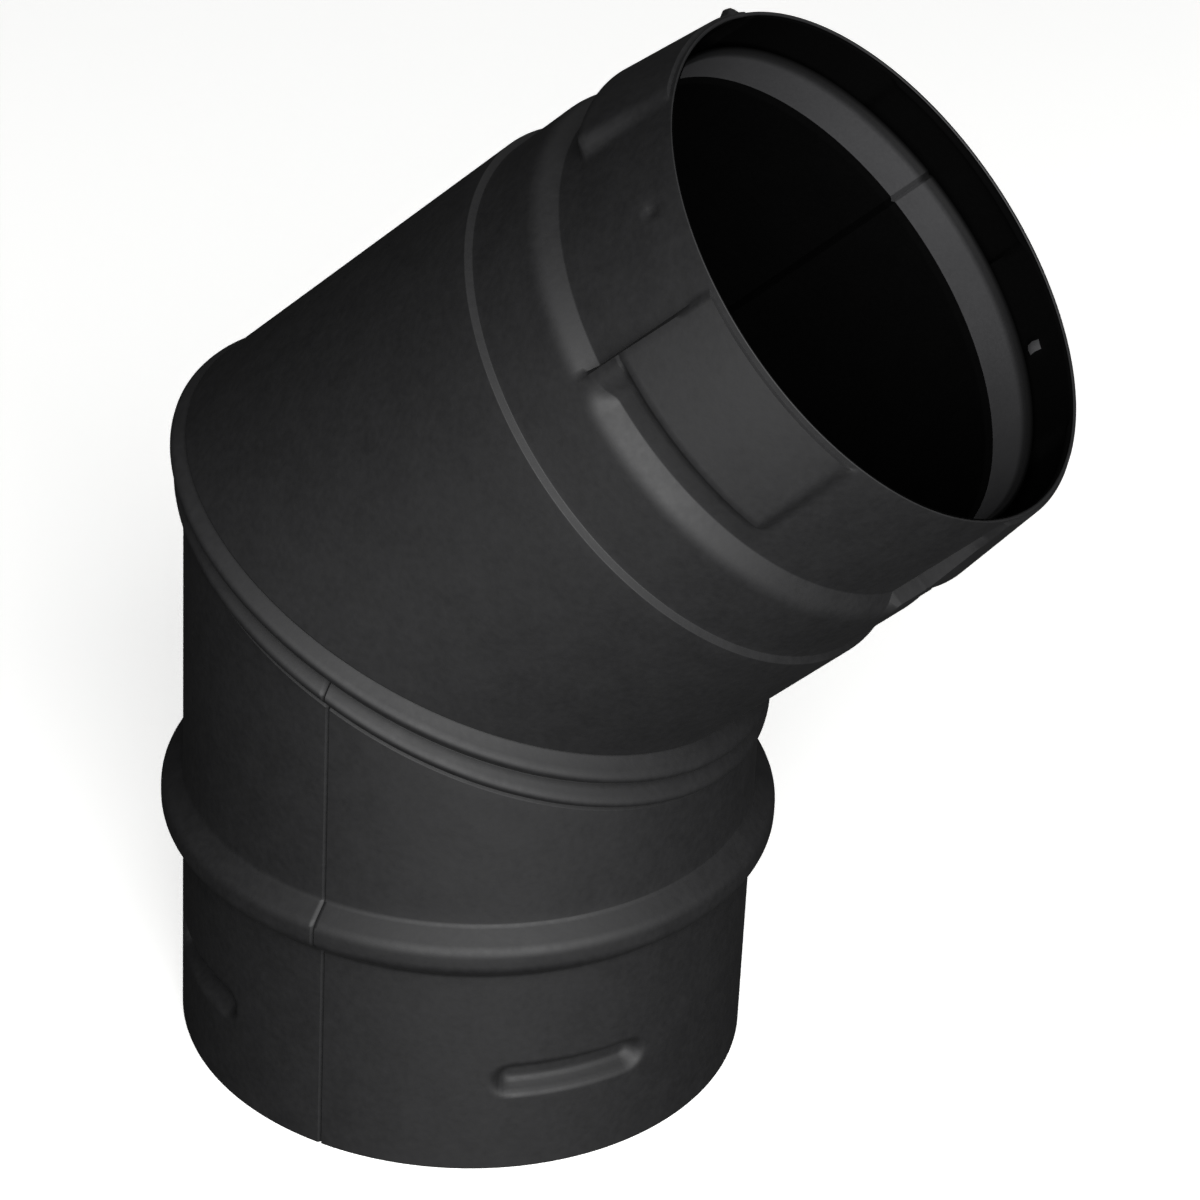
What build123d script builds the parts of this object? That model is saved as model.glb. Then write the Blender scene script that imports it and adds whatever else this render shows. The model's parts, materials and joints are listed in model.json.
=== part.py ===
from build123d import *
import os
from math import cos, degrees, radians, sin, tan

os.makedirs("parts", exist_ok=True)

# A 45 degree twist-lock elbow for a twin-wall stove flue.
# The origin is the centre of the lower rim, +Z runs up the lower leg, and the bend leans towards +X.
# Millimetres and degrees throughout.

# --- Driving dimensions -----------------------------------------------------------------------------

# Pipe
casing_diameter = 88.9  # outside of the painted casing
casing_sheet = 0.6
liner_bore = 76.2  # flue gas passage
liner_sheet = 0.4
bend_angle = 45.0
lower_leg = 86.7  # lower rim to the bend point
upper_leg = 84.7  # bend point to the mouth

# Twist-lock joint
joint_depth = 38.0  # how far a spigot enters a socket
spigot_slip = 0.4  # radial gap between a spigot and its socket
lock_height = 16.5  # middle of the lock grooves, from the socket's rim
lock_width = 6.3
lock_tip_width = 2.0
lock_depth = 2.4  # how far the locks stand into the socket
lock_span = 33.0
lock_count = 4
lock_turn = 45.0  # the first lock, round from +X
lock_clearance = 0.35  # between a lock's tip and the floor of the channel it runs in
channel_width = 3.4  # flat floor of the channel
channel_flank = 3.2  # length of the slope down from the spigot's root
pad_span = 46.0
pad_turn = 0.0  # the first pad, round from the inside of the bend
pad_back_slope = 2.0
pad_front_slope = 0.3
pad_front_rise = 0.6  # a pad falls to this height at the mouth, so that a socket slides on
mouth_lip = 1.4  # plain ring in front of the pads
stop_span = 4.5  # ridge that ends the twist
stop_inset = 0.5  # round from the pad's edge
stop_drop = 0.15  # below the pad's face
step_length = 0.9  # shoulder that the next pipe's rim meets

# Seal bead and its ring
bead_depth = 3.4
bead_width = 9.0
bead_crest = 3.6
bead_fillet = 2.2
rim_to_bead = 2.8  # from the mated rim to the middle of the bead
seal_seat = 0.2  # from the mated rim to the seal's lip, unloaded
seal_lip = 1.6  # thickness of the lip at its inner edge
seal_liner_gap = 1.2
seal_crest = 1.4

# Mitre lock seam of the casing
seam_hem = 1.2  # radius of the rolled edge
seam_play = 0.4
stiffener_rib = 1.6  # radius of the rib below the seam
stiffener_sink = 0.2  # how far the rib's centre lies inside the casing's surface
groove_width = 0.9

# Mitre lock seam of the liner
liner_hem = 0.8
liner_play = 0.3

# Liner ends: the lower one is a plain spigot, which the upper one's bell takes
liner_slip = 0.15  # radial gap in the telescopic joint
bell_recess = 7.0  # bell's rim behind the mouth
bell_length = 7.5
bell_slope = 1.0
bell_lip = 0.4  # how far the bell's rim turns outwards
bell_lip_length = 1.0
liner_end_gap = 1.3  # from a spigot's rim to the bottom of the bell that it enters

# Long welded seams
weld_seam_span = 0.6
weld_seam_depth = 0.2
weld_seam_end = 1.0  # from the groove's end to the bead, rib or shoulder beside it
lower_seam_turn = -96.0
upper_seam_turn = 91.0

# Centring dimples of the mouth
dimple_radius = 1.2
dimple_pit = 0.9  # radius of the hollow on the outside
dimple_gap = 0.2  # from a dimple to the liner's bell
dimple_turns = (-134.0, 46.0)

# Nib that marks the twist, on the outside of a pad
nib_radius = 1.0
nib_turn = 162.0
nib_setback = 1.8  # behind the mouth

bend_softness = 0.8  # outside radius where the casing is bent
bell_fillet = 0.5

# Spacer clips
clip_sheet = 0.5
clip_span = 20.0
clip_turns = (60.0, 180.0, 300.0)
clip_margin = 1.6
clip_foot_share = 0.3  # of the clip's length, for each foot

# --- Worked-out dimensions --------------------------------------------------------------------------

half_bend = bend_angle / 2
stretch = 1 / cos(radians(half_bend))  # long radius of a mitre's ellipse over the pipe's radius

casing_radius = casing_diameter / 2
casing_inside = casing_radius - casing_sheet
liner_inside = liner_bore / 2
liner_radius = liner_inside + liner_sheet

spigot_radius = casing_inside - spigot_slip
lock_tip_radius = casing_inside - lock_depth
land_radius = lock_tip_radius - lock_clearance
land_inside = land_radius - casing_sheet

step_top = upper_leg - joint_depth
channel_middle = step_top + lock_height
channel_start = channel_middle - lock_tip_width / 2 - 0.1
channel_end = channel_start + channel_width
pad_start = channel_end
pad_end = upper_leg - mouth_lip

bead_middle = joint_depth + rim_to_bead
bead_top = bead_middle + bead_width / 2

seam_cavity = seam_hem + seam_play
seam_ring = seam_cavity + casing_sheet
seam_drop = seam_ring - seam_play / 2  # rolled edge's centre below the mitre plane
rib_drop = seam_drop + seam_ring + groove_width + stiffener_rib

rib_bottom = lower_leg - (rib_drop + stiffener_rib) * stretch

liner_cavity = liner_hem + liner_play
liner_ring = liner_cavity + liner_sheet
liner_drop = liner_ring - liner_play / 2

bell_inside = liner_radius + liner_slip
dimple_tip = bell_inside + liner_sheet + dimple_gap
bell_rim = upper_leg - bell_recess
dimple_height = bell_rim + dimple_gap + dimple_radius
bell_bottom = bell_rim - bell_length
liner_start = bell_bottom - step_top + liner_end_gap

# --- Frames and helpers -----------------------------------------------------------------------------

lower_frame = Plane.XY
upper_frame = Plane(
    origin=(0, 0, lower_leg),
    x_dir=(cos(radians(bend_angle)), 0, -sin(radians(bend_angle))),
    z_dir=(sin(radians(bend_angle)), 0, cos(radians(bend_angle))),
)
mitre = Plane(
    origin=(0, 0, lower_leg),
    x_dir=(cos(radians(half_bend)), 0, -sin(radians(half_bend))),
    z_dir=(sin(radians(half_bend)), 0, cos(radians(half_bend))),
)
down = Vector(0, 0, -1)


def half_plane(frame, turn):
    """The plane through a leg's axis: x is the radius at that turn, y runs along the leg."""
    radial = frame.x_dir * cos(radians(turn)) + frame.y_dir * sin(radians(turn))
    return Plane(origin=frame.origin, x_dir=radial, z_dir=radial.cross(frame.z_dir))


def below_mitre(drop):
    """The plane parallel to the mitre, drop below it, centred on the lower axis."""
    return Plane(
        origin=(0, 0, lower_leg - drop * stretch),
        x_dir=mitre.x_dir,
        z_dir=mitre.z_dir,
    )


def turned_wall(frame, outline, fillet_radius, sheet, side):
    """A sheet wall turned about a leg's axis, from one face's outline of (radius, height) points."""
    with BuildSketch(half_plane(frame, 0)) as section:
        with BuildLine():
            face_line = FilletPolyline(*outline, radius=fillet_radius)
            offset(face_line, amount=sheet, side=side)
        make_face()
    revolve(section.sketch, axis=Axis(frame.origin, frame.z_dir))


def ring_segment(frame, middle, span, outline, mode=Mode.ADD):
    """A closed outline of (radius, height) points turned through span about the turn called middle."""
    with BuildSketch(half_plane(frame, middle - span / 2)) as section:
        with BuildLine():
            Polyline(*outline, close=True)
        make_face()
    leg_axis = Axis(frame.origin, frame.z_dir)
    revolve(section.sketch, axis=leg_axis, revolution_arc=span, mode=mode)


def weld_seam(frame, turn, start, end):
    """A fine groove along a leg, in the outer face of the casing."""
    ring_segment(frame, turn, weld_seam_span, [
        (casing_radius - weld_seam_depth, start),
        (casing_radius + weld_seam_depth, start),
        (casing_radius + weld_seam_depth, end),
        (casing_radius - weld_seam_depth, end),
    ], Mode.SUBTRACT)


def mitre_ring(drop, wall_radius, ring_radius, mode=Mode.ADD):
    """A ring of round section that follows a mitred pipe's edge, drop below the mitre plane."""
    with BuildLine(below_mitre(drop)) as path:
        EllipticalCenterArc((0, 0), wall_radius * stretch, wall_radius, 0, arc_size=360)
    with BuildSketch(Plane(origin=path.line @ 0, z_dir=path.line % 0)) as section:
        Circle(ring_radius)
    sweep(section.sketch, path=path.line, mode=mode)


def clear_bore(plane, direction, radius, length):
    """Cut a round bore along one leg, starting at a plane that is parallel to the mitre."""
    with BuildSketch(plane) as section:
        Ellipse(radius * stretch, radius)
    extrude(section.sketch, amount=length, dir=direction, mode=Mode.SUBTRACT)


def rolled_edge(drop, radius, sheet, hem, cleared):
    """Roll a lower pipe's mitred edge outwards, and clear its bore for a length below the mitre."""
    mitre_ring(drop, radius - sheet / 2, hem)
    clear_bore(below_mitre(-hem), down, radius - sheet, cleared)


def collar(drop, radius, sheet, ring, cavity):
    """Wrap an upper pipe's mitred edge round the rolled edge below it."""
    mitre_ring(drop, radius - sheet / 2, ring)
    mitre_ring(drop, radius - sheet / 2, cavity, Mode.SUBTRACT)
    clear_bore(below_mitre(drop), down, radius, 2 * ring * stretch)
    clear_bore(mitre, down, radius - sheet, drop * stretch)
    clear_bore(mitre, upper_frame.z_dir, radius - sheet, ring)


def turn_of_length(length, radius):
    """The turn, in degrees, that a length takes round a circle."""
    return degrees(length / radius)


# --- Casing, lower shell ----------------------------------------------------------------------------

bead_outline = [
    (casing_radius, 0),
    (casing_radius, bead_middle - bead_width / 2),
    (casing_radius + bead_depth, bead_middle - bead_crest / 2),
    (casing_radius + bead_depth, bead_middle + bead_crest / 2),
    (casing_radius, bead_top),
    (casing_radius, lower_leg + casing_radius),
]

with BuildPart() as outer_lower_shell:
    turned_wall(lower_frame, bead_outline, bead_fillet, casing_sheet, Side.LEFT)
    # The leg ends in a rolled edge inside the upper shell's collar.
    split(bisect_by=below_mitre(seam_drop), keep=Keep.BOTTOM)
    mitre_ring(rib_drop, casing_radius - stiffener_sink, stiffener_rib)
    rolled_edge(seam_drop, casing_radius, casing_sheet, seam_hem, 2 * rib_drop)
    # The stiffening rib is pressed out of the wall, so it is hollow behind.
    mitre_ring(rib_drop, casing_radius - stiffener_sink, stiffener_rib - casing_sheet, Mode.SUBTRACT)
    for lock in range(lock_count):
        turn = lock_turn + lock * 360 / lock_count
        ring_segment(lower_frame, turn, lock_span, [
            (casing_radius - casing_sheet / 2, lock_height - lock_width / 2),
            (lock_tip_radius, lock_height - lock_tip_width / 2),
            (lock_tip_radius, lock_height + lock_tip_width / 2),
            (casing_radius - casing_sheet / 2, lock_height + lock_width / 2),
        ])
        ring_segment(lower_frame, turn, lock_span - 2 * turn_of_length(casing_sheet, casing_radius), [
            (casing_radius + 1, lock_height - lock_width / 2 + casing_sheet),
            (casing_radius, lock_height - lock_width / 2 + casing_sheet),
            (lock_tip_radius + casing_sheet, lock_height - lock_tip_width / 2 + casing_sheet / 2),
            (lock_tip_radius + casing_sheet, lock_height + lock_tip_width / 2 - casing_sheet / 2),
            (casing_radius, lock_height + lock_width / 2 - casing_sheet),
            (casing_radius + 1, lock_height + lock_width / 2 - casing_sheet),
        ], Mode.SUBTRACT)
    weld_seam(lower_frame, lower_seam_turn, -weld_seam_end, bead_middle - bead_width / 2 - weld_seam_end)
    weld_seam(lower_frame, lower_seam_turn, bead_top + weld_seam_end, rib_bottom - weld_seam_end)
outer_lower_shell.part.label = "outer_lower_shell"
export_step(outer_lower_shell.part, "parts/outer_lower_shell.step")

# --- Casing, upper shell ----------------------------------------------------------------------------

spigot_outline = [
    (casing_radius, -casing_radius),
    (casing_radius, step_top - step_length),
    (spigot_radius, step_top),
    (spigot_radius, channel_start - channel_flank),
    (land_radius, channel_start),
    (land_radius, upper_leg),
]

mid_land = land_radius - casing_sheet / 2
stop_radius = spigot_radius - stop_drop
pad_front_radius = land_radius + pad_front_rise
pad_outline = [
    (mid_land, pad_start),
    (land_radius, pad_start),
    (spigot_radius, pad_start + pad_back_slope),
    (pad_front_radius, pad_end - pad_front_slope),
    (land_radius, pad_end),
    (mid_land, pad_end),
]
pad_hollow = [
    (land_inside - 1, pad_start + casing_sheet),
    (land_radius - casing_sheet, pad_start + casing_sheet),
    (spigot_radius - casing_sheet, pad_start + pad_back_slope + casing_sheet / 2),
    (pad_front_radius - casing_sheet, pad_end - pad_front_slope - casing_sheet / 2),
    (land_inside - 1, pad_end - pad_front_slope - casing_sheet / 2),
]
stop_outline = [
    (mid_land, channel_start - casing_sheet / 2),
    (stop_radius, channel_start - channel_flank),
    (stop_radius, pad_start + pad_back_slope),
    (mid_land, pad_start + pad_back_slope),
]

with BuildPart() as outer_upper_shell:
    turned_wall(upper_frame, spigot_outline, bend_softness, casing_sheet, Side.LEFT)
    split(bisect_by=below_mitre(seam_play / 2), keep=Keep.TOP)
    collar(seam_drop, casing_radius, casing_sheet, seam_ring, seam_cavity)
    pad_sheet_turn = turn_of_length(casing_sheet, spigot_radius)
    for pad in range(lock_count):
        turn = pad_turn + pad * 360 / lock_count
        ring_segment(upper_frame, turn, pad_span, pad_outline)
        ring_segment(upper_frame, turn, pad_span - 2 * pad_sheet_turn, pad_hollow, Mode.SUBTRACT)
        # A ridge across the channel ends the twist.
        ring_segment(upper_frame, turn - (pad_span - stop_span) / 2 + stop_inset, stop_span, stop_outline)
    for turn in dimple_turns:
        dimple_plane = half_plane(upper_frame, turn)
        bump = dimple_plane.from_local_coords((dimple_tip + dimple_radius, dimple_height))
        pit = dimple_plane.from_local_coords((land_radius, dimple_height))
        add(Pos(*bump) * Sphere(dimple_radius, mode=Mode.PRIVATE))
        add(Pos(*pit) * Sphere(dimple_pit, mode=Mode.PRIVATE), mode=Mode.SUBTRACT)
    nib = half_plane(upper_frame, nib_turn).from_local_coords((pad_front_radius, upper_leg - nib_setback))
    add(Pos(*nib) * Sphere(nib_radius, mode=Mode.PRIVATE))
    weld_seam(upper_frame, upper_seam_turn, seam_ring + weld_seam_end, step_top - step_length - weld_seam_end)
outer_upper_shell.part.label = "outer_upper_shell"
export_step(outer_upper_shell.part, "parts/outer_upper_shell.step")

# --- Liner ------------------------------------------------------------------------------------------

bell_outline = [
    (liner_inside, -casing_radius),
    (liner_inside, bell_bottom - bell_slope),
    (bell_inside, bell_bottom),
    (bell_inside, bell_rim - bell_lip_length),
    (bell_inside + bell_lip, bell_rim),
]

with BuildPart() as liner_lower:
    with BuildSketch(lower_frame.offset(liner_start)):
        Circle(liner_radius)
        Circle(liner_inside, mode=Mode.SUBTRACT)
    extrude(amount=lower_leg + casing_radius - liner_start)
    split(bisect_by=below_mitre(liner_drop), keep=Keep.BOTTOM)
    rolled_edge(liner_drop, liner_radius, liner_sheet, liner_hem, 3 * liner_hem)
liner_lower.part.label = "liner_lower"
export_step(liner_lower.part, "parts/liner_lower.step")

with BuildPart() as liner_upper:
    turned_wall(upper_frame, bell_outline, bell_fillet, liner_sheet, Side.RIGHT)
    split(bisect_by=below_mitre(liner_play / 2), keep=Keep.TOP)
    collar(liner_drop, liner_radius, liner_sheet, liner_ring, liner_cavity)
liner_upper.part.label = "liner_upper"
export_step(liner_upper.part, "parts/liner_upper.step")

# The sealant fills the upper half of the liner's seam, between the rolled edge and its collar.
with BuildPart() as liner_seam_sealant:
    mitre_ring(liner_drop, liner_radius - liner_sheet / 2, liner_cavity)
    mitre_ring(liner_drop, liner_radius - liner_sheet / 2, liner_hem, Mode.SUBTRACT)
    clear_bore(below_mitre(liner_drop), down, liner_radius + liner_cavity, 2 * liner_ring * stretch)
    clear_bore(mitre, down, liner_radius, 2 * liner_ring * stretch)
liner_seam_sealant.part.label = "liner_seam_sealant"
export_step(liner_seam_sealant.part, "parts/liner_seam_sealant.step")

# --- Seal ring --------------------------------------------------------------------------------------

bead_inside = casing_radius + bead_depth - casing_sheet
seal_face = joint_depth + seal_seat
seal_half = bead_middle - seal_face
seal_inside = liner_radius + seal_liner_gap
seal_shoulder = casing_radius

with BuildPart() as socket_seal_ring:
    ring_segment(lower_frame, 0, 360, [
        (bead_inside, bead_middle - seal_crest / 2),
        (bead_inside, bead_middle + seal_crest / 2),
        (seal_shoulder, bead_middle + seal_half),
        (seal_shoulder - seal_lip, bead_middle + seal_half),
        (seal_inside, seal_face + seal_lip),
        (seal_inside, seal_face),
        (seal_shoulder, seal_face),
    ])
socket_seal_ring.part.label = "socket_seal_ring"
export_step(socket_seal_ring.part, "parts/socket_seal_ring.step")

# --- Spacer clips -----------------------------------------------------------------------------------


def spacer_clip(frame, turn, start, end):
    """A bent strip with one foot on the liner and the other on the casing."""
    foot = (end - start) * clip_foot_share
    on_liner = liner_radius + clip_sheet / 2
    on_casing = casing_inside - clip_sheet / 2
    with BuildPart() as clip:
        with BuildSketch(half_plane(frame, turn - clip_span / 2)):
            with BuildLine():
                FilletPolyline(
                    (on_liner, start),
                    (on_liner, start + foot),
                    (on_casing, end - foot),
                    (on_casing, end),
                    radius=bend_softness,
                )
            trace(line_width=clip_sheet)
        revolve(axis=Axis(frame.origin, frame.z_dir), revolution_arc=clip_span)
    return clip.part


# The clips stand between the seal bead or the spigot's step and the part of the mitre nearest to it.
widest_reach = max(cos(radians(turn)) for turn in clip_turns) * casing_radius * tan(radians(half_bend))
lower_clip_start = bead_top + clip_margin
lower_clip_end = lower_leg - widest_reach - (rib_drop + stiffener_rib) * stretch - clip_margin
upper_clip_start = widest_reach + seam_ring * stretch + clip_margin
upper_clip_end = step_top - step_length - clip_margin

for number, turn in enumerate(clip_turns, start=1):
    lower_clip = spacer_clip(lower_frame, turn, lower_clip_start, lower_clip_end)
    lower_clip.label = f"lower_spacer_clip_{number}"
    export_step(lower_clip, f"parts/{lower_clip.label}.step")
    upper_clip = spacer_clip(upper_frame, turn, upper_clip_start, upper_clip_end)
    upper_clip.label = f"upper_spacer_clip_{number}"
    export_step(upper_clip, f"parts/{upper_clip.label}.step")
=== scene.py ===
import json
from math import atan2, ceil, cos, hypot, pi, radians, sin, tan

import bmesh
import bpy
from bpy.props import FloatProperty, IntProperty, PointerProperty, StringProperty
from bpy.types import Operator, Panel, PropertyGroup
from mathutils import Matrix, Vector


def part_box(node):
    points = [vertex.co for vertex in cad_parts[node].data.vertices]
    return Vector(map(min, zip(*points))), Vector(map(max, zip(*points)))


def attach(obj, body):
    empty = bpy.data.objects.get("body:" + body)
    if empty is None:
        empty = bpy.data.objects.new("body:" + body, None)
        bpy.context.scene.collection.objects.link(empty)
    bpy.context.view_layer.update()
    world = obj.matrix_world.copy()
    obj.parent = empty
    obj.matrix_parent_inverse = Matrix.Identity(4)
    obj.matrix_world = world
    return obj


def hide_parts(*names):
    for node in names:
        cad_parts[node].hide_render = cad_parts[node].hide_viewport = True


bl_info = {
    "name": "Twist-lock Flue Elbow",
    "version": (1, 0, 0),
    "blender": (4, 5, 0),
    "location": "View3D > Sidebar > Flue Elbow",
    "description": "Builds a painted twin-wall stove flue elbow around its packed frame",
    "category": "Object",
}

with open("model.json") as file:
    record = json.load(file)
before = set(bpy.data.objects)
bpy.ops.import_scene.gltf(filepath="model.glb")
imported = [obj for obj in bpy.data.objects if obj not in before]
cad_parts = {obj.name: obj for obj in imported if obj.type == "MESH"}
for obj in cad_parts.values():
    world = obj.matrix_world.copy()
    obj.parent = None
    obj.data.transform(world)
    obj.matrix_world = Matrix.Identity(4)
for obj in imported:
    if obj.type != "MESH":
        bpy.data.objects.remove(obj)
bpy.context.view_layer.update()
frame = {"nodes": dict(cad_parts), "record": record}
mount = {m["name"]: m for m in frame["record"]["mounts"]}

MM = 0.001
BODY = "root"
SOCKET_RADIUS = mount["female_socket"]["dims"]["r_mm"] * MM
SPIGOT_RADIUS = mount["male_spigot"]["dims"]["r_mm"] * MM
BELL_RADIUS = mount["liner_socket"]["dims"]["r_mm"] * MM
KEY_DIRECTION = Vector((0.451, -0.781, 0.433))
LOWER_SEAM = radians(-96)
UPPER_SEAM = radians(91)
WELD_COLUMNS = [step * 0.35 * MM for step in range(-2, 3)]
FULL_ROUND = 9 * MM  # a fillet wider than any rib, so that the whole rib is one arc
EDGE_BREAK = 0.12 * MM  # rounding of a cut sheet edge


# --- Sizes and colours ------------------------------------------------------------------------------


def length(name, description, default):
    return FloatProperty(
        name=name, description=description, default=default, unit="LENGTH", precision=5
    )


def angle(name, description, default):
    return FloatProperty(
        name=name, description=description, default=radians(default), subtype="ANGLE"
    )


def paint(name, description, default):
    return StringProperty(name=name, description=description, default=default)


class PipeSizes(PropertyGroup):
    casing_radius: length("Casing radius", "Outside radius of the painted casing", SOCKET_RADIUS + 0.6 * MM)
    casing_sheet: length("Casing sheet", "Thickness of the casing's sheet", 0.6 * MM)
    liner_sheet: length("Liner sheet", "Thickness of the liner's sheet", 0.4 * MM)
    liner_radius: length("Liner radius", "Outside radius of the liner", BELL_RADIUS - 0.15 * MM)
    bend: angle("Bend", "Turn between the two legs", 45.0)
    lower_leg: length("Lower leg", "Lower rim to the bend point", 86.7 * MM)
    upper_leg: length("Upper leg", "Bend point to the mouth", 84.7 * MM)
    columns: IntProperty(name="Columns", description="Steps round a casing shell", default=360, min=24)
    liner_columns: IntProperty(name="Liner columns", description="Steps round the liner", default=180, min=24)
    bell_recess: length("Bell recess", "The liner bell's rim behind the mouth", 7.0 * MM)
    bell_length: length("Bell length", "Length of the liner's bell", 7.5 * MM)
    bell_slope: length("Bell slope", "Length of the slope into the bell", 1.0 * MM)
    bell_lip: length("Bell lip", "How far the bell's rim turns outwards", 0.4 * MM)
    bell_lip_length: length("Bell lip length", "Length of the turned rim", 1.0 * MM)
    end_gap: length("End gap", "From a liner's end to the bottom of the bell it enters", 1.3 * MM)
    liner_collar: length("Liner collar", "How far the liner's mitre collar stands out", 1.2 * MM)
    # Painted shade: the bell's rim gets a near-black band that stands in for shade.
    shade_band: length("Soot band", "Width of the dark band along the bell's rim", 2.2 * MM)
    shade_fade: length("Soot fade", "Width over which the dark band sets in", 1.8 * MM)


class LockSizes(PropertyGroup):
    joint_depth: length("Joint depth", "How far a spigot enters a socket", 38.0 * MM)
    lock_height: length("Lock height", "Middle of the lock grooves above the rim", 16.5 * MM)
    lock_width: length("Lock width", "Width of a lock groove at the casing's face", 6.3 * MM)
    lock_depth: length("Lock depth", "How far a lock groove is pressed in", 2.4 * MM)
    lock_floor: length("Lock floor", "Half the width of a lock groove's floor", 0.9 * MM)
    lock_span: angle("Lock span", "Turn that one lock groove covers", 33.0)
    lock_turn: angle("Lock turn", "Place of the first lock groove", 45.0)
    pad_span: angle("Pad span", "Turn that one raised pad covers", 46.0)
    step_length: length("Step length", "Length of the shoulder's slope", 0.6 * MM)
    tip_reach: length("Tip reach", "From a lock's middle down to the channel's start", 1.1 * MM)
    channel_flank: length("Channel flank", "Length of the slope down into the channel", 2.9 * MM)
    channel_width: length("Channel width", "Width of the channel's floor", 3.4 * MM)
    pad_turn: angle("Pad turn", "Place of the first pad, from the inside of the bend", 0.0)
    pad_rise: length("Pad rise", "Height of a pad's back above the channel", 2.35 * MM)
    pad_front_rise: length("Pad front rise", "Height of a pad's front above the mouth's ring", 0.6 * MM)
    pad_back: length("Pad back", "Length of the slope up to a pad's back", 2.0 * MM)
    pad_front: length("Pad front", "Length of the drop at a pad's front", 0.1 * MM)
    mouth_lip: length("Mouth lip", "Plain ring in front of the pads", 0.9 * MM)
    pad_sharp: angle("Sharp side", "Turn that the steep side of a pad takes", 1.2)
    pad_soft: angle("Soft side", "Turn that the gentle side of a pad takes", 4.0)
    stop_span: angle("Stop span", "Turn that a stop ridge covers", 3.0)
    stop_soft: angle("Stop fade", "Turn over which a stop ridge sinks into the channel", 5.0)
    dimple_radius: length("Dimple radius", "Radius of a centring dimple", 1.2 * MM)
    dimple_setback: length("Dimple setback", "Centring dimples behind the mouth", 5.6 * MM)
    dimple_turn: angle("Dimple turn", "Place of one centring dimple; the other is opposite", 46.0)
    nib_radius: length("Nib radius", "Radius of the nib that marks the twist", 1.2 * MM)
    nib_turn: angle("Nib turn", "Place of the nib that marks the twist", 162.0)
    nib_setback: length("Nib setback", "The nib behind the mouth", 1.8 * MM)


class SeamSizes(PropertyGroup):
    bead_height: length("Bead height", "Middle of the seal bead above the rim", 40.8 * MM)
    bead_width: length("Bead width", "Width of the seal bead", 9.0 * MM)
    bead_depth: length("Bead depth", "How far the seal bead stands out", 3.4 * MM)
    bead_crest: length("Bead crest", "Half the width of the seal bead's flat top", 1.8 * MM)
    bead_round: length("Bead round", "Rounding of the seal bead's top", 2.4 * MM)
    bead_foot: length("Bead foot", "Rounding at the foot of the seal bead", 1.2 * MM)
    collar_drop: length("Collar drop", "Middle of the mitre collar below the mitre", 2.0 * MM)
    collar_radius: length("Collar radius", "Half the collar's width", 2.2 * MM)
    rib_drop: length("Rib drop", "Middle of the stiffening rib below the mitre", 6.5 * MM)
    rib_radius: length("Rib radius", "Half the rib's width", 1.9 * MM)
    crevice: length("Crevice", "Depth of the creases beside the collar and the rib", 0.35 * MM)
    crease: length("Crease", "Rounding inside a crease", 0.1 * MM)
    weld_width: length("Weld width", "Width of the long welded seam", 0.7 * MM)
    weld_depth: length("Weld depth", "Depth of the long welded seam", 0.5 * MM)


class Finishes(PropertyGroup):
    casing_black: paint("Casing black", "Matt stove paint, sRGB hex", "#131314")
    inner_black: paint("Inner black", "Unlit side of the casing sheet, sRGB hex", "#050505")
    liner_grey: paint("Liner grey", "Heat-dulled liner bell, sRGB hex", "#343435")
    # Painted shade: near-black that stands in for the shade in the liner's bore and along the bell's rim.
    painted_shade: paint("Painted shade", "Shaded bore of the liner, sRGB hex", "#050505")
    seal_grey: paint("Seal grey", "Silicone seal ring, sRGB hex", "#303134")
    clip_grey: paint("Clip grey", "Spring steel of the spacer clips, sRGB hex", "#8B8B88")
    sealant_grey: paint("Sealant grey", "Seam sealant, sRGB hex", "#3A3937")
    floor_white: paint("Floor white", "Studio floor, sRGB hex", "#F4F4F2")


# --- Outline helpers --------------------------------------------------------------------------------


def clamp(value):
    """The value, held between 0 and 1."""
    return min(max(value, 0.0), 1.0)


def smooth_step(value):
    """0 below 0, 1 above 1, and an even slope with soft ends between."""
    value = clamp(value)
    return value * value * (3 - 2 * value)


def rounded(corners, steps=6):
    """An outline of (radius, height, fillet) corners, with each corner turned into an arc."""
    points = [Vector(corners[0][:2])]
    for before, corner, after in zip(corners, corners[1:], corners[2:]):
        here = Vector(corner[:2])
        back = Vector(before[:2]) - here
        ahead = Vector(after[:2]) - here
        half = back.angle(ahead) / 2
        trim = min(corner[2] / tan(half), 0.49 * back.length, 0.49 * ahead.length)
        start = here + back.normalized() * trim
        end = here + ahead.normalized() * trim
        for step in range(steps + 1):
            share = step / steps
            points.append((start.lerp(here, share)).lerp(here.lerp(end, share), share))
    points.append(Vector(corners[-1][:2]))
    return points


def with_rows(points, spacing_at):
    """Split the long runs of an outline, so that no row is further from the next than spacing_at allows."""
    rows = [points[0]]
    for start, end in zip(points, points[1:]):
        middle = (start.y + end.y) / 2
        count = max(1, ceil((end - start).length / spacing_at(middle)))
        rows += [start.lerp(end, step / count) for step in range(1, count + 1)]
    return rows


def spin_outline(outline, columns):
    """Spin an outline of (radius, height) points into a closed round shell."""
    shell = bmesh.new()
    line = [shell.verts.new((point.x, 0, point.y)) for point in outline]
    line_edges = [shell.edges.new(pair) for pair in zip(line, line[1:])]
    bmesh.ops.spin(
        shell,
        geom=line + line_edges,
        cent=(0, 0, 0),
        axis=(0, 0, 1),
        dvec=(0, 0, 0),
        angle=2 * pi,
        steps=columns,
        use_merge=True,
        use_normal_flip=False,
    )
    bmesh.ops.remove_doubles(shell, verts=shell.verts, dist=1e-7)
    bmesh.ops.recalc_face_normals(shell, faces=shell.faces)
    return shell


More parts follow.
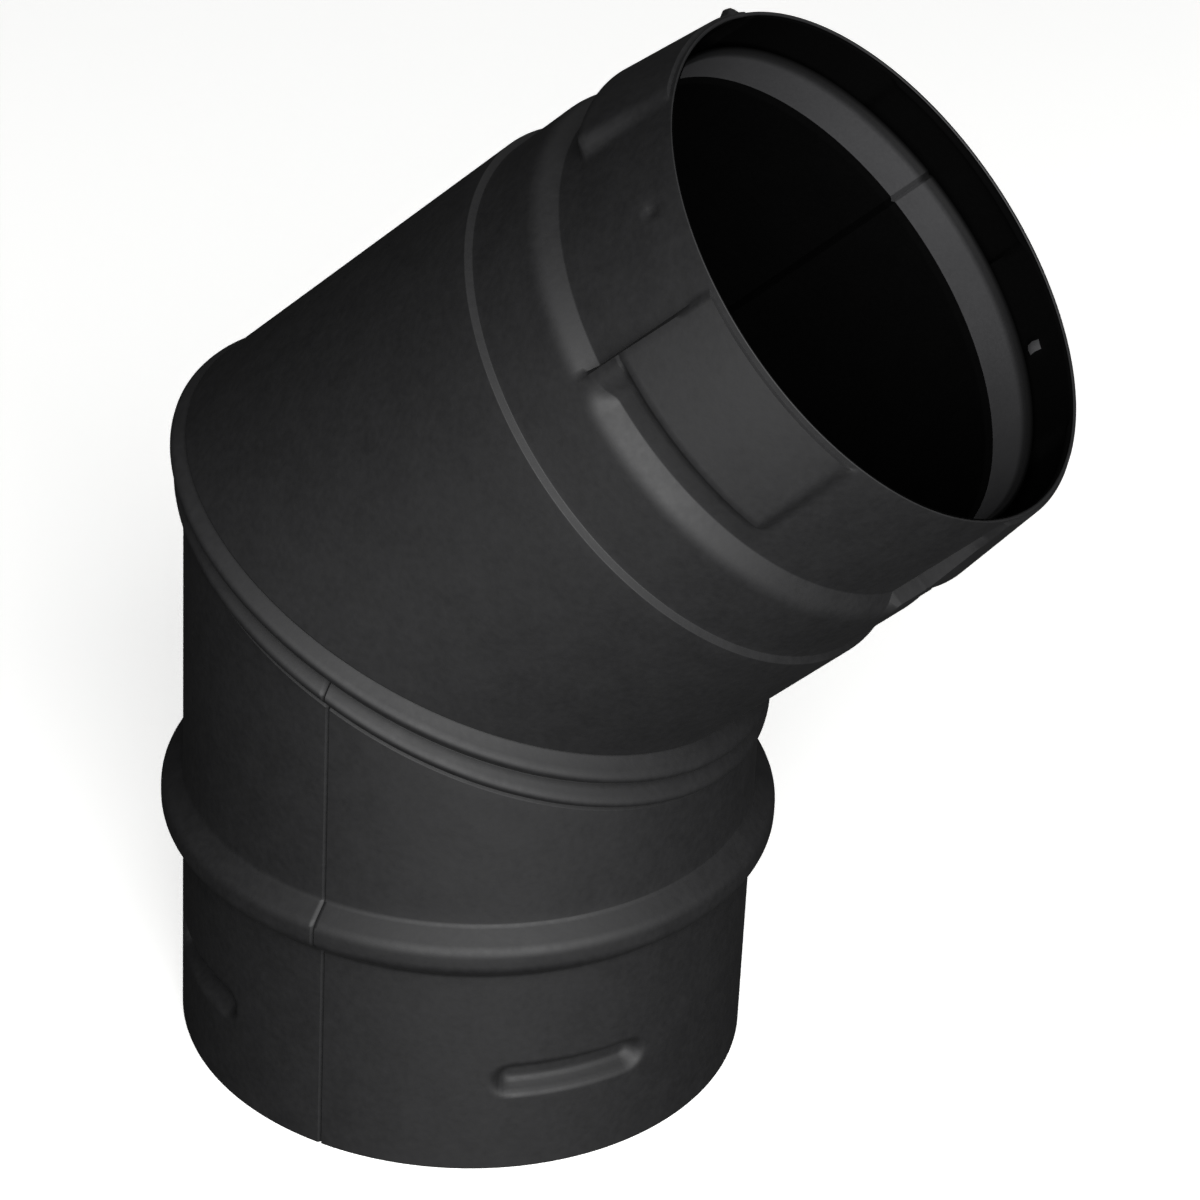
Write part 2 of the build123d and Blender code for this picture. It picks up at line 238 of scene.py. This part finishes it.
def add_weld_columns(shell, turn, radius):
    """Cut the columns that a welded seam needs into a spun shell, round one turn."""
    here = Vector((cos(turn), sin(turn)))
    for offset in WELD_COLUMNS:
        near = [face for face in shell.faces if face.calc_center_median().xy.normalized().dot(here) > 0.99]
        geom = near + list({edge for face in near for edge in face.edges})
        geom += list({vert for face in near for vert in face.verts})
        cut_turn = turn + offset / radius
        normal = Vector((-sin(cut_turn), cos(cut_turn), 0))
        bmesh.ops.bisect_plane(shell, geom=geom, dist=1e-8, plane_co=(0, 0, 0), plane_no=normal)


def press(shell, push_at):
    """Move every vertex out from the axis by push_at(turn, height, radius)."""
    for vert in shell.verts:
        radius = hypot(vert.co.x, vert.co.y)
        push = push_at(atan2(vert.co.y, vert.co.x), vert.co.z, radius)
        vert.co.x *= 1 + push / radius
        vert.co.y *= 1 + push / radius


def turn_between(turn, middle):
    """The signed turn from middle to turn, within half a turn either way."""
    return (turn - middle + pi) % (2 * pi) - pi


def round_spot(turn, height, spot_turn, spot_height, wall_radius, spot_radius, edge):
    """A small round bulge in a wall: 1 at its middle and 0 past edge times its radius."""
    away = hypot(turn_between(turn, spot_turn) * wall_radius, height - spot_height)
    return smooth_step(edge - away / spot_radius)


def weld_line(turn, seam_turn, radius, seams):
    """A fine V groove along a leg."""
    across = abs(turn_between(turn, seam_turn)) * radius
    return -seams.weld_depth * max(0.0, 1 - across / (seams.weld_width / 2))


def mitre_straight_pipe(shell, pipe, lower_straight, upper_straight):
    """Bend a straight pipe at its height 0 into the elbow.

    Rows tilt into the mitre's plane as they near it. Rows more than lower_straight below the bend, or
    upper_straight above it, stay square to their leg.
    """
    slope = tan(pipe.bend / 2)
    lean = Matrix.Rotation(pipe.bend, 4, "Y")
    for vert in shell.verts:
        height = vert.co.z
        if height < 0:
            tilt = smooth_tilt(-height, lower_straight)
            vert.co.z = pipe.lower_leg + height - tilt * slope * vert.co.x
        else:
            tilt = smooth_tilt(height, upper_straight)
            vert.co.z = height + tilt * slope * vert.co.x
            vert.co = lean @ vert.co
            vert.co.z += pipe.lower_leg


def smooth_tilt(distance, straight):
    """How much of the mitre's tilt a row has: all of it near the mitre, none where the leg is straight."""
    near, far = straight
    return 1 - clamp((distance - near) / (far - near))


def finish_piece(context, name, shell, node):
    """Turn a bmesh into an object that rides on the body and replaces a CAD node."""
    mesh = bpy.data.meshes.new(name)
    shell.to_mesh(mesh)
    shell.free()
    mesh.shade_smooth()
    mesh.set_sharp_from_angle(angle=radians(50))
    piece = bpy.data.objects.new(name, mesh)
    context.collection.objects.link(piece)
    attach(piece, BODY)
    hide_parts(node)
    return piece


def add_wall(piece, sheet, rim_material=0, inside_material=1):
    """Give a shell its sheet thickness, inwards from its outer face."""
    wall = piece.modifiers.new("Sheet", "SOLIDIFY")
    wall.thickness = sheet
    wall.offset = -1
    wall.use_even_offset = True
    wall.use_rim = True
    wall.material_offset = inside_material
    wall.material_offset_rim = rim_material


def add_finishes(piece, *names):
    """Give a piece its finishes, in the order of its material numbers."""
    for name in names:
        piece.data.materials.append(bpy.data.materials[name])


# --- Materials --------------------------------------------------------------------------------------


def linear(hex_colour):
    """sRGB hex to the linear colour that shaders take."""
    channels = [int(hex_colour[i:i + 2], 16) / 255 for i in (1, 3, 5)]
    return [c / 12.92 if c <= 0.04045 else ((c + 0.055) / 1.055) ** 2.4 for c in channels] + [1.0]


def add_node(tree, kind, settings=None, inputs=None, links=None):
    """Add one node with its settings, its input values and its links from other nodes' outputs."""
    node = tree.nodes.new(kind)
    for name, value in (settings or {}).items():
        setattr(node, name, value)
    for name, value in (inputs or {}).items():
        node.inputs[name].default_value = value
    for name, output in (links or {}).items():
        tree.links.new(output, node.inputs[name])
    return node


def new_material(name):
    """An empty node material with its surface shader and its Object coordinates."""
    material = bpy.data.materials.new(name)
    material.use_nodes = True
    tree = material.node_tree
    tree.nodes.clear()
    shader = add_node(tree, "ShaderNodeBsdfPrincipled")
    add_node(tree, "ShaderNodeOutputMaterial", links={"Surface": shader.outputs["BSDF"]})
    place = add_node(tree, "ShaderNodeTexCoord").outputs["Object"]
    return material, tree, shader, place


def shades(colour, spread):
    """A darker and a lighter shade of a colour."""
    return [c * (1 - spread) for c in colour[:3]] + [1], [c * (1 + spread) for c in colour[:3]] + [1]


def mottled_finish(name, colour, spread, cloud, grain, grain_height, roughness, rough_spread, settings):
    """A surface whose colour drifts over cloud metres and whose texture has grains of grain metres."""
    material, tree, shader, place = new_material(name)
    clouds = add_node(
        tree,
        "ShaderNodeTexNoise",
        inputs={"Scale": 1 / cloud, "Detail": 4.0, "Roughness": 0.6},
        links={"Vector": place},
    )
    grains = add_node(
        tree,
        "ShaderNodeTexNoise",
        inputs={"Scale": 1 / grain, "Detail": 2.0, "Roughness": 0.5},
        links={"Vector": place},
    )
    mixed = add_node(
        tree,
        "ShaderNodeMath",
        settings={"operation": "MULTIPLY_ADD"},
        inputs={1: 0.5},
        links={0: grains.outputs["Fac"]},
    )
    half_clouds = add_node(
        tree,
        "ShaderNodeMath",
        settings={"operation": "MULTIPLY"},
        inputs={1: 0.5},
        links={0: clouds.outputs["Fac"]},
    )
    tree.links.new(half_clouds.outputs["Value"], mixed.inputs[2])
    dark, light = shades(colour, spread)
    tone = add_node(tree, "ShaderNodeMix", settings={"data_type": "RGBA"}, links={0: mixed.outputs["Value"]})
    tone.inputs[6].default_value = dark
    tone.inputs[7].default_value = light
    tree.links.new(tone.outputs[2], shader.inputs["Base Color"])
    gloss = add_node(
        tree,
        "ShaderNodeMapRange",
        inputs={
            "From Min": 0.3,
            "From Max": 0.7,
            "To Min": roughness - rough_spread,
            "To Max": roughness + rough_spread,
        },
        links={"Value": mixed.outputs["Value"]},
    )
    tree.links.new(gloss.outputs["Result"], shader.inputs["Roughness"])
    bump = add_node(
        tree,
        "ShaderNodeBump",
        inputs={"Strength": 1.0, "Distance": grain_height},
        links={"Height": grains.outputs["Fac"]},
    )
    tree.links.new(bump.outputs["Normal"], shader.inputs["Normal"])
    for socket, value in settings.items():
        shader.inputs[socket].default_value = value
    return material


def stove_paint(colours):
    """Matt high-temperature stove paint: sprayed, so it has a fine even grain and a faint drift in tone."""
    return mottled_finish(
        "matt_stove_paint", linear(colours.casing_black), 0.35, 5 * MM, 1.1 * MM, 0.02 * MM, 0.64, 0.05,
        {"IOR": 1.5, "Specular IOR Level": 0.5},
    )


def inner_sheet(colours):
    """The inside of the casing sheet, dull; its near-black colour is painted shade."""
    return mottled_finish(
        "shaded_inner_sheet", linear(colours.inner_black), 0.3, 12 * MM, 0.6 * MM, 0.01 * MM, 0.85, 0.05,
        {"IOR": 1.45, "Specular IOR Level": 0.0},
    )


def dulled_liner(colours):
    """The liner's bell, dulled by heat, with a band of painted shade along its rim: near-black and without
    gloss.
    """
    material = mottled_finish(
        "heat_dulled_liner", linear(colours.liner_grey), 0.2, 9 * MM, 0.5 * MM, 0.01 * MM, 0.5, 0.08,
        {"IOR": 1.45, "Specular IOR Level": 0.4},
    )
    tree = material.node_tree
    shader = next(node for node in tree.nodes if node.type == "BSDF_PRINCIPLED")
    clean_tone = shader.inputs["Base Color"].links[0].from_socket
    # The painted shade mask: it mixes in near-black and takes away the gloss.
    painted_shade = add_node(tree, "ShaderNodeAttribute", settings={"attribute_name": "painted_shade"}).outputs["Fac"]
    shaded_tone = add_node(tree, "ShaderNodeMix", settings={"data_type": "RGBA"}, links={0: painted_shade, 6: clean_tone})
    shaded_tone.inputs[7].default_value = linear(colours.painted_shade)
    tree.links.new(shaded_tone.outputs[2], shader.inputs["Base Color"])
    sheen = add_node(tree, "ShaderNodeMapRange", inputs={"To Min": 0.4, "To Max": 0.0}, links={"Value": painted_shade})
    tree.links.new(sheen.outputs["Result"], shader.inputs["Specular IOR Level"])
    return material


def shade_black_liner(colours):
    """The liner's bore in near-black painted shade, which throws back almost no light."""
    return mottled_finish(
        "shade_black_liner", linear(colours.painted_shade), 0.4, 6 * MM, 0.7 * MM, 0.03 * MM, 0.95, 0.03,
        {"IOR": 1.45, "Specular IOR Level": 0.0},
    )


def silicone_rubber(colours):
    """Moulded silicone: smooth and soft-looking, with a low sheen."""
    return mottled_finish(
        "moulded_silicone", linear(colours.seal_grey), 0.12, 10 * MM, 0.5 * MM, 0.008 * MM, 0.5, 0.05,
        {"IOR": 1.41, "Specular IOR Level": 0.5},
    )


def clip_steel(colours):
    """Cold-rolled spring steel strip with a fine rolled grain."""
    return mottled_finish(
        "rolled_spring_steel", linear(colours.clip_grey), 0.15, 4 * MM, 0.3 * MM, 0.006 * MM, 0.38, 0.08,
        {"Metallic": 1.0},
    )


def seam_sealant(colours):
    """Fire cement sealant: matt, slightly gritty."""
    return mottled_finish(
        "gritty_sealant", linear(colours.sealant_grey), 0.3, 3 * MM, 0.4 * MM, 0.05 * MM, 0.85, 0.05,
        {"IOR": 1.5, "Specular IOR Level": 0.3},
    )


def floor_paper(colours):
    """A seamless paper floor: matt and almost even."""
    return mottled_finish(
        "studio_paper", linear(colours.floor_white), 0.01, 300 * MM, 2 * MM, 0.005 * MM, 0.9, 0.02,
        {"IOR": 1.4, "Specular IOR Level": 0.1, "Emission Color": (1, 1, 1, 1), "Emission Strength": 0.5},
    )


# --- Pieces -----------------------------------------------------------------------------------------


class FLUE_OT_lower_casing(Operator):
    """Build the lower casing shell: socket with lock grooves, seal bead and stiffening rib"""

    bl_idname = "flue.lower_casing"
    bl_label = "Lower Casing"

    def execute(self, context):
        pipe = context.scene.flue_pipe
        locks = context.scene.flue_locks
        seams = context.scene.flue_seams
        radius = pipe.casing_radius
        foot = -pipe.lower_leg
        stretch = 1 / cos(pipe.bend / 2)
        bead = foot + seams.bead_height
        half_bead = seams.bead_width / 2
        crest = seams.bead_crest
        crevice = seams.crevice
        rib = -seams.rib_drop * stretch
        half_rib = seams.rib_radius * stretch
        outline = rounded([
            (radius - EDGE_BREAK, foot, 0),
            (radius, foot + EDGE_BREAK, seams.crease),
            (radius, bead - half_bead, seams.bead_foot),
            (radius + seams.bead_depth, bead - crest, seams.bead_round),
            (radius + seams.bead_depth, bead + crest, seams.bead_round),
            (radius, bead + half_bead, seams.bead_foot),
            (radius, rib - half_rib - crevice, seams.crease),
            (radius - crevice, rib - half_rib, seams.crease),
            (radius + 1.05 * seams.rib_radius, rib, FULL_ROUND),
            (radius - crevice, rib + half_rib, seams.crease),
            (radius - crevice, -seams.collar_drop * stretch, 0),
        ])
        lock_middle = foot + locks.lock_height

        def row_spacing(height):
            if abs(height - lock_middle) < locks.lock_width * 0.62:
                return 0.45 * MM
            return 3.0 * MM

        shell = spin_outline(with_rows(outline, row_spacing), pipe.columns)
        add_weld_columns(shell, LOWER_SEAM, radius)

        half_lock = locks.lock_width / 2
        half_lock_line = locks.lock_span / 2 * radius - half_lock

        def pressed(turn, height, _):
            push = weld_line(turn, LOWER_SEAM, radius, seams)
            for lock in range(4):
                along = abs(turn_between(turn, locks.lock_turn + lock * pi / 2)) * radius
                away = hypot(max(0.0, along - half_lock_line), height - lock_middle)
                push -= locks.lock_depth * smooth_step((half_lock - away) / (half_lock - locks.lock_floor))
            return push

        press(shell, pressed)
        mitre_straight_pipe(shell, pipe, (-(rib - 2 * half_rib), -(bead + half_bead)), (0, 1))
        piece = finish_piece(context, "lower_casing", shell, "outer_lower_shell")
        add_wall(piece, pipe.casing_sheet)
        # Inside the sheet: near-black painted shade.
        add_finishes(piece, "matt_stove_paint", "shaded_inner_sheet")
        return {"FINISHED"}


class FLUE_OT_upper_casing(Operator):
    """Build the upper casing shell: mitre collar, shoulder, twist channel, pads and mouth"""

    bl_idname = "flue.upper_casing"
    bl_label = "Upper Casing"

    def execute(self, context):
        pipe = context.scene.flue_pipe
        locks = context.scene.flue_locks
        seams = context.scene.flue_seams
        radius = pipe.casing_radius
        land = SPIGOT_RADIUS - locks.pad_rise
        stretch = 1 / cos(pipe.bend / 2)
        collar = -seams.collar_drop * stretch
        half_collar = seams.collar_radius * stretch
        shoulder = pipe.upper_leg - locks.joint_depth
        channel_start = shoulder + locks.lock_height - locks.tip_reach
        flank_start = channel_start - locks.channel_flank
        pad_start = channel_start + locks.channel_width
        pad_top = pad_start + locks.pad_back
        pad_end = pipe.upper_leg - locks.mouth_lip
        pad_brow = pad_end - locks.pad_front
        outline = rounded([
            (radius + 0.05 * MM, collar - half_collar, 0),
            (radius + 1.2 * seams.collar_radius, collar, FULL_ROUND),
            (radius - seams.crevice, collar + half_collar, seams.crease),
            (radius, collar + half_collar + seams.crevice, 0.2 * MM),
            (radius, shoulder - locks.step_length, 0.2 * MM),
            (SPIGOT_RADIUS, shoulder, 0.2 * MM),
            (SPIGOT_RADIUS, flank_start, 4.0 * MM),
            (land, channel_start, 0.5 * MM),
            (land, pad_start, 0),
            (land, pad_top, 0),
            (land, pad_brow, 0),
            (land, pad_end, 0),
            (land, pipe.upper_leg - EDGE_BREAK, seams.crease),
            (land - EDGE_BREAK, pipe.upper_leg, 0),
        ])

        def row_spacing(height):
            if height < shoulder:
                return 3.0 * MM
            if pad_start < height < pad_top:
                return 0.3 * MM
            return 0.9 * MM

        shell = spin_outline(with_rows(outline, row_spacing), pipe.columns)
        add_weld_columns(shell, UPPER_SEAM, radius)

        half_pad = locks.pad_span / 2
        dimple_height = pipe.upper_leg - locks.dimple_setback
        nib_height = pipe.upper_leg - locks.nib_setback

        def pressed(turn, height, wall_radius):
            push = weld_line(turn, UPPER_SEAM, radius, seams) if 0 < height < shoulder else 0.0
            ramp = clamp((height - pad_top) / (pad_brow - pad_top))
            rise = locks.pad_rise + ramp * (locks.pad_front_rise - locks.pad_rise)
            rise *= clamp((pad_end - height) / locks.pad_front)
            back_gap = 1 - clamp((height - pad_start) / locks.pad_back)
            ridge = smooth_step(back_gap * 3) if height > shoulder else 0.0
            for pad in range(4):
                off = turn_between(turn, locks.pad_turn + pad * pi / 2)
                from_edge = off + half_pad
                from_sides = min(from_edge / locks.pad_sharp, (half_pad - off) / locks.pad_soft)
                round_pad = smooth_step(1 - hypot(1 - clamp(from_sides), back_gap))
                round_stop = smooth_step(from_edge / locks.pad_sharp)
                round_stop *= smooth_step(1 + (locks.stop_span - from_edge) / locks.stop_soft)
                push += max(rise * round_pad, (SPIGOT_RADIUS - wall_radius) * ridge * round_stop)
            for dimple in (locks.dimple_turn, locks.dimple_turn - pi):
                spot = round_spot(turn, height, dimple, dimple_height, land, locks.dimple_radius, 1.3)
                push -= 0.5 * locks.dimple_radius * spot
            spot = round_spot(turn, height, locks.nib_turn, nib_height, land, locks.nib_radius, 1.4)
            return push + 0.9 * locks.nib_radius * spot

        # Inside the mouth, the tip of the dimple gets a painted highlight: the lighter liner grey stands in
        # for a glint.
        for face in shell.faces:
            middle = face.calc_center_median()
            across = turn_between(atan2(middle.y, middle.x), locks.dimple_turn) * land
            if hypot(across, middle.z - dimple_height) < 0.7 * locks.dimple_radius:
                face.material_index = 2
        press(shell, pressed)
        mitre_straight_pipe(shell, pipe, (10 * MM, 11 * MM), (1.0 * MM, shoulder - 4 * MM))
        piece = finish_piece(context, "upper_casing", shell, "outer_upper_shell")
        add_wall(piece, pipe.casing_sheet)
        # Slots 2 and 3 are the dimple's tip: paint outside, and inside the lighter liner grey as a painted
        # highlight.
        add_finishes(piece, "matt_stove_paint", "shaded_inner_sheet", "matt_stove_paint", "heat_dulled_liner")
        return {"FINISHED"}


class FLUE_OT_liner(Operator):
    """Build both lengths of the liner: plain lower end, mitre seam and the bell inside the mouth"""

    bl_idname = "flue.liner"
    bl_label = "Liner"

    def execute(self, context):
        pipe = context.scene.flue_pipe
        seams = context.scene.flue_seams
        radius = pipe.liner_radius
        shoulder = pipe.upper_leg - context.scene.flue_locks.joint_depth
        bell_rim = pipe.upper_leg - pipe.bell_recess
        bell_bottom = bell_rim - pipe.bell_length
        start = bell_bottom - shoulder + pipe.end_gap - pipe.lower_leg
        plain = rounded([(radius, start, 0), (radius, -pipe.liner_sheet, 0)])
        lower = spin_outline(with_rows(plain, lambda height: 3 * MM), pipe.liner_columns)
        mitre_straight_pipe(lower, pipe, (2 * MM, 40 * MM), (0, 1))
        lower_piece = finish_piece(context, "lower_liner", lower, "liner_lower")
        add_wall(lower_piece, pipe.liner_sheet, inside_material=0)
        # The whole lower bore takes the near-black painted shade.
        add_finishes(lower_piece, "shade_black_liner")

        bell = BELL_RADIUS + pipe.liner_sheet
        belled = rounded([
            (radius + 0.75 * pipe.liner_collar, -2.6 * MM, 0),
            (radius + pipe.liner_collar, -1.3 * MM, 0.6 * MM),
            (radius, 0.2 * MM, 0.2 * MM),
            (radius, bell_bottom - pipe.bell_slope, 0.5 * MM),
            (bell, bell_bottom, 0.5 * MM),
            (bell, bell_rim - pipe.bell_lip_length, 0.8 * MM),
            (bell + pipe.bell_lip, bell_rim, 0),
        ])

        def row_spacing(height):
            return MM if height > bell_bottom else 3 * MM

        def welded(turn, *_):
            return weld_line(turn, UPPER_SEAM, radius, seams)

        upper = spin_outline(with_rows(belled, row_spacing), pipe.liner_columns)
        # Painted shade along the bell's rim: this mask darkens the bell's colour to near-black and takes away
        # its gloss.
        painted_shade = upper.verts.layers.float.new("painted_shade")
        for vert in upper.verts:
            vert[painted_shade] = smooth_step((vert.co.z - bell_rim + pipe.shade_band) / pipe.shade_fade)
        # Below the bell, the bore takes the near-black painted shade.
        for face in upper.faces:
            face.material_index = 1 if face.calc_center_median().z < bell_bottom else 0
        add_weld_columns(upper, UPPER_SEAM, radius)
        press(upper, welded)
        mitre_straight_pipe(upper, pipe, (0, 1), (1.0 * MM, 40 * MM))
        upper_piece = finish_piece(context, "upper_liner", upper, "liner_upper")
        add_wall(upper_piece, pipe.liner_sheet, inside_material=0)
        add_finishes(upper_piece, "heat_dulled_liner", "shade_black_liner")
        return {"FINISHED"}


class FLUE_OT_seal(Operator):
    """Build the silicone seal ring that sits in the bead"""

    bl_idname = "flue.seal"
    bl_label = "Seal Ring"

    def execute(self, context):
        pipe = context.scene.flue_pipe
        seams = context.scene.flue_seams
        low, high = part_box("socket_seal_ring")
        middle = seams.bead_height
        crest = high.x - 0.02 * MM
        shoulder = pipe.casing_radius
        inside = pipe.liner_radius + 1.2 * MM
        corners = [
            (crest, middle, 0),
            (crest, middle + 0.7 * MM, 0.3 * MM),
            (shoulder, high.z, 0.6 * MM),
            (shoulder - 1.6 * MM, high.z, 0.5 * MM),
            (inside, low.z + 1.6 * MM, 0.5 * MM),
            (inside, low.z, 0.5 * MM),
            (shoulder, low.z, 0.6 * MM),
            (crest, middle - 0.7 * MM, 0.3 * MM),
            (crest, middle, 0),
        ]
        ring = spin_outline(rounded(corners), 240)
        piece = finish_piece(context, "seal_ring", ring, "socket_seal_ring")
        add_finishes(piece, "moulded_silicone")
        return {"FINISHED"}


class FLUE_OT_finishes(Operator):
    """Make every finish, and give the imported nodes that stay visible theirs"""

    bl_idname = "flue.finishes"
    bl_label = "Finishes"

    def execute(self, context):
        colours = context.scene.flue_finishes
        makers = (stove_paint, inner_sheet, dulled_liner, shade_black_liner, silicone_rubber, floor_paper)
        for make in makers:
            make(colours)
        steel = clip_steel(colours)
        sealant = seam_sealant(colours)
        for name, node in frame["nodes"].items():
            for word, finish in (("clip", steel), ("sealant", sealant)):
                if word in name:
                    node.data.materials.clear()
                    node.data.materials.append(finish)
        return {"FINISHED"}


class FLUE_OT_stage(Operator):
    """Lay the floor, hang the lights and place the camera"""

    bl_idname = "flue.stage"
    bl_label = "Stage"

    def execute(self, context):
        scene = context.scene
        sheet = bmesh.new()
        bmesh.ops.create_grid(sheet, x_segments=1, y_segments=1, size=4.0)
        mesh = bpy.data.meshes.new("studio_floor")
        sheet.to_mesh(mesh)
        sheet.free()
        floor = bpy.data.objects.new("studio_floor", mesh)
        context.collection.objects.link(floor)
        mesh.materials.append(bpy.data.materials["studio_paper"])
        floor.visible_diffuse = False
        floor.visible_glossy = False

        aim = Vector((6.1, 38.1, 55.5)) * MM
        azimuth, elevation, roll = radians(20.39), radians(31.23), radians(2.95)
        distance = 800 * MM
        back = Vector((sin(azimuth) * cos(elevation), -cos(azimuth) * cos(elevation), sin(elevation)))
        right = Vector((cos(azimuth), sin(azimuth), 0))
        up = back.cross(right)
        turned_right = cos(roll) * right + sin(roll) * up
        turned_up = cos(roll) * up - sin(roll) * right
        lens = bpy.data.cameras.new("camera")
        lens.lens = 149.67
        lens.sensor_width = 36.0
        lens.clip_start = 0.01
        camera = bpy.data.objects.new("camera", lens)
        turned = Matrix((turned_right, turned_up, back)).transposed().to_4x4()
        camera.matrix_world = Matrix.Translation(aim + back * distance) @ turned
        context.collection.objects.link(camera)
        scene.camera = camera

        add_softbox(context, "key_softbox", aim + KEY_DIRECTION * 0.95, aim, 1.1, 25.0)
        add_softbox(context, "back_fill", (-0.3, 1.1, 0.9), aim, 0.8, 1.0)
        world = bpy.data.worlds.new("studio_air")
        world.use_nodes = True
        world.node_tree.nodes["Background"].inputs["Color"].default_value = (1, 1, 1, 1)
        world.node_tree.nodes["Background"].inputs["Strength"].default_value = 0.04
        world.cycles_visibility.glossy = False
        scene.world = world
        scene.view_settings.view_transform = "Standard"
        return {"FINISHED"}


def add_softbox(context, name, place, aim, size, power):
    """Hang a square soft light that faces the piece."""
    light = bpy.data.lights.new(name, "AREA")
    light.size = size
    light.energy = power
    lamp = bpy.data.objects.new(name, light)
    lamp.location = place
    lamp.rotation_euler = (Vector(place) - aim).to_track_quat("Z", "Y").to_euler()
    context.collection.objects.link(lamp)


class FLUE_PT_panel(Panel):
    """Every step of the build, and the sizes and colours that it takes"""

    bl_label = "Flue Elbow"
    bl_idname = "FLUE_PT_panel"
    bl_space_type = "VIEW_3D"
    bl_region_type = "UI"
    bl_category = "Flue Elbow"

    def draw(self, context):
        for group in SETTINGS:
            box = self.layout.box()
            settings = getattr(context.scene, group)
            for name in settings.__annotations__:
                box.prop(settings, name)
        for operator in OPERATORS:
            self.layout.operator(operator.bl_idname)


OPERATORS = (
    FLUE_OT_finishes,
    FLUE_OT_lower_casing,
    FLUE_OT_upper_casing,
    FLUE_OT_liner,
    FLUE_OT_seal,
    FLUE_OT_stage,
)
SETTINGS = {
    "flue_pipe": PipeSizes,
    "flue_locks": LockSizes,
    "flue_seams": SeamSizes,
    "flue_finishes": Finishes,
}


def register():
    for group, settings in SETTINGS.items():
        bpy.utils.register_class(settings)
        setattr(bpy.types.Scene, group, PointerProperty(type=settings))
    for operator in OPERATORS:
        bpy.utils.register_class(operator)
    bpy.utils.register_class(FLUE_PT_panel)


def unregister():
    bpy.utils.unregister_class(FLUE_PT_panel)
    for operator in reversed(OPERATORS):
        bpy.utils.unregister_class(operator)
    for group, settings in SETTINGS.items():
        delattr(bpy.types.Scene, group)
        bpy.utils.unregister_class(settings)


def main():
    register()
    for operator in OPERATORS:
        group, action = operator.bl_idname.split(".")
        getattr(getattr(bpy.ops, group), action)()


if __name__ == "__main__":
    main()
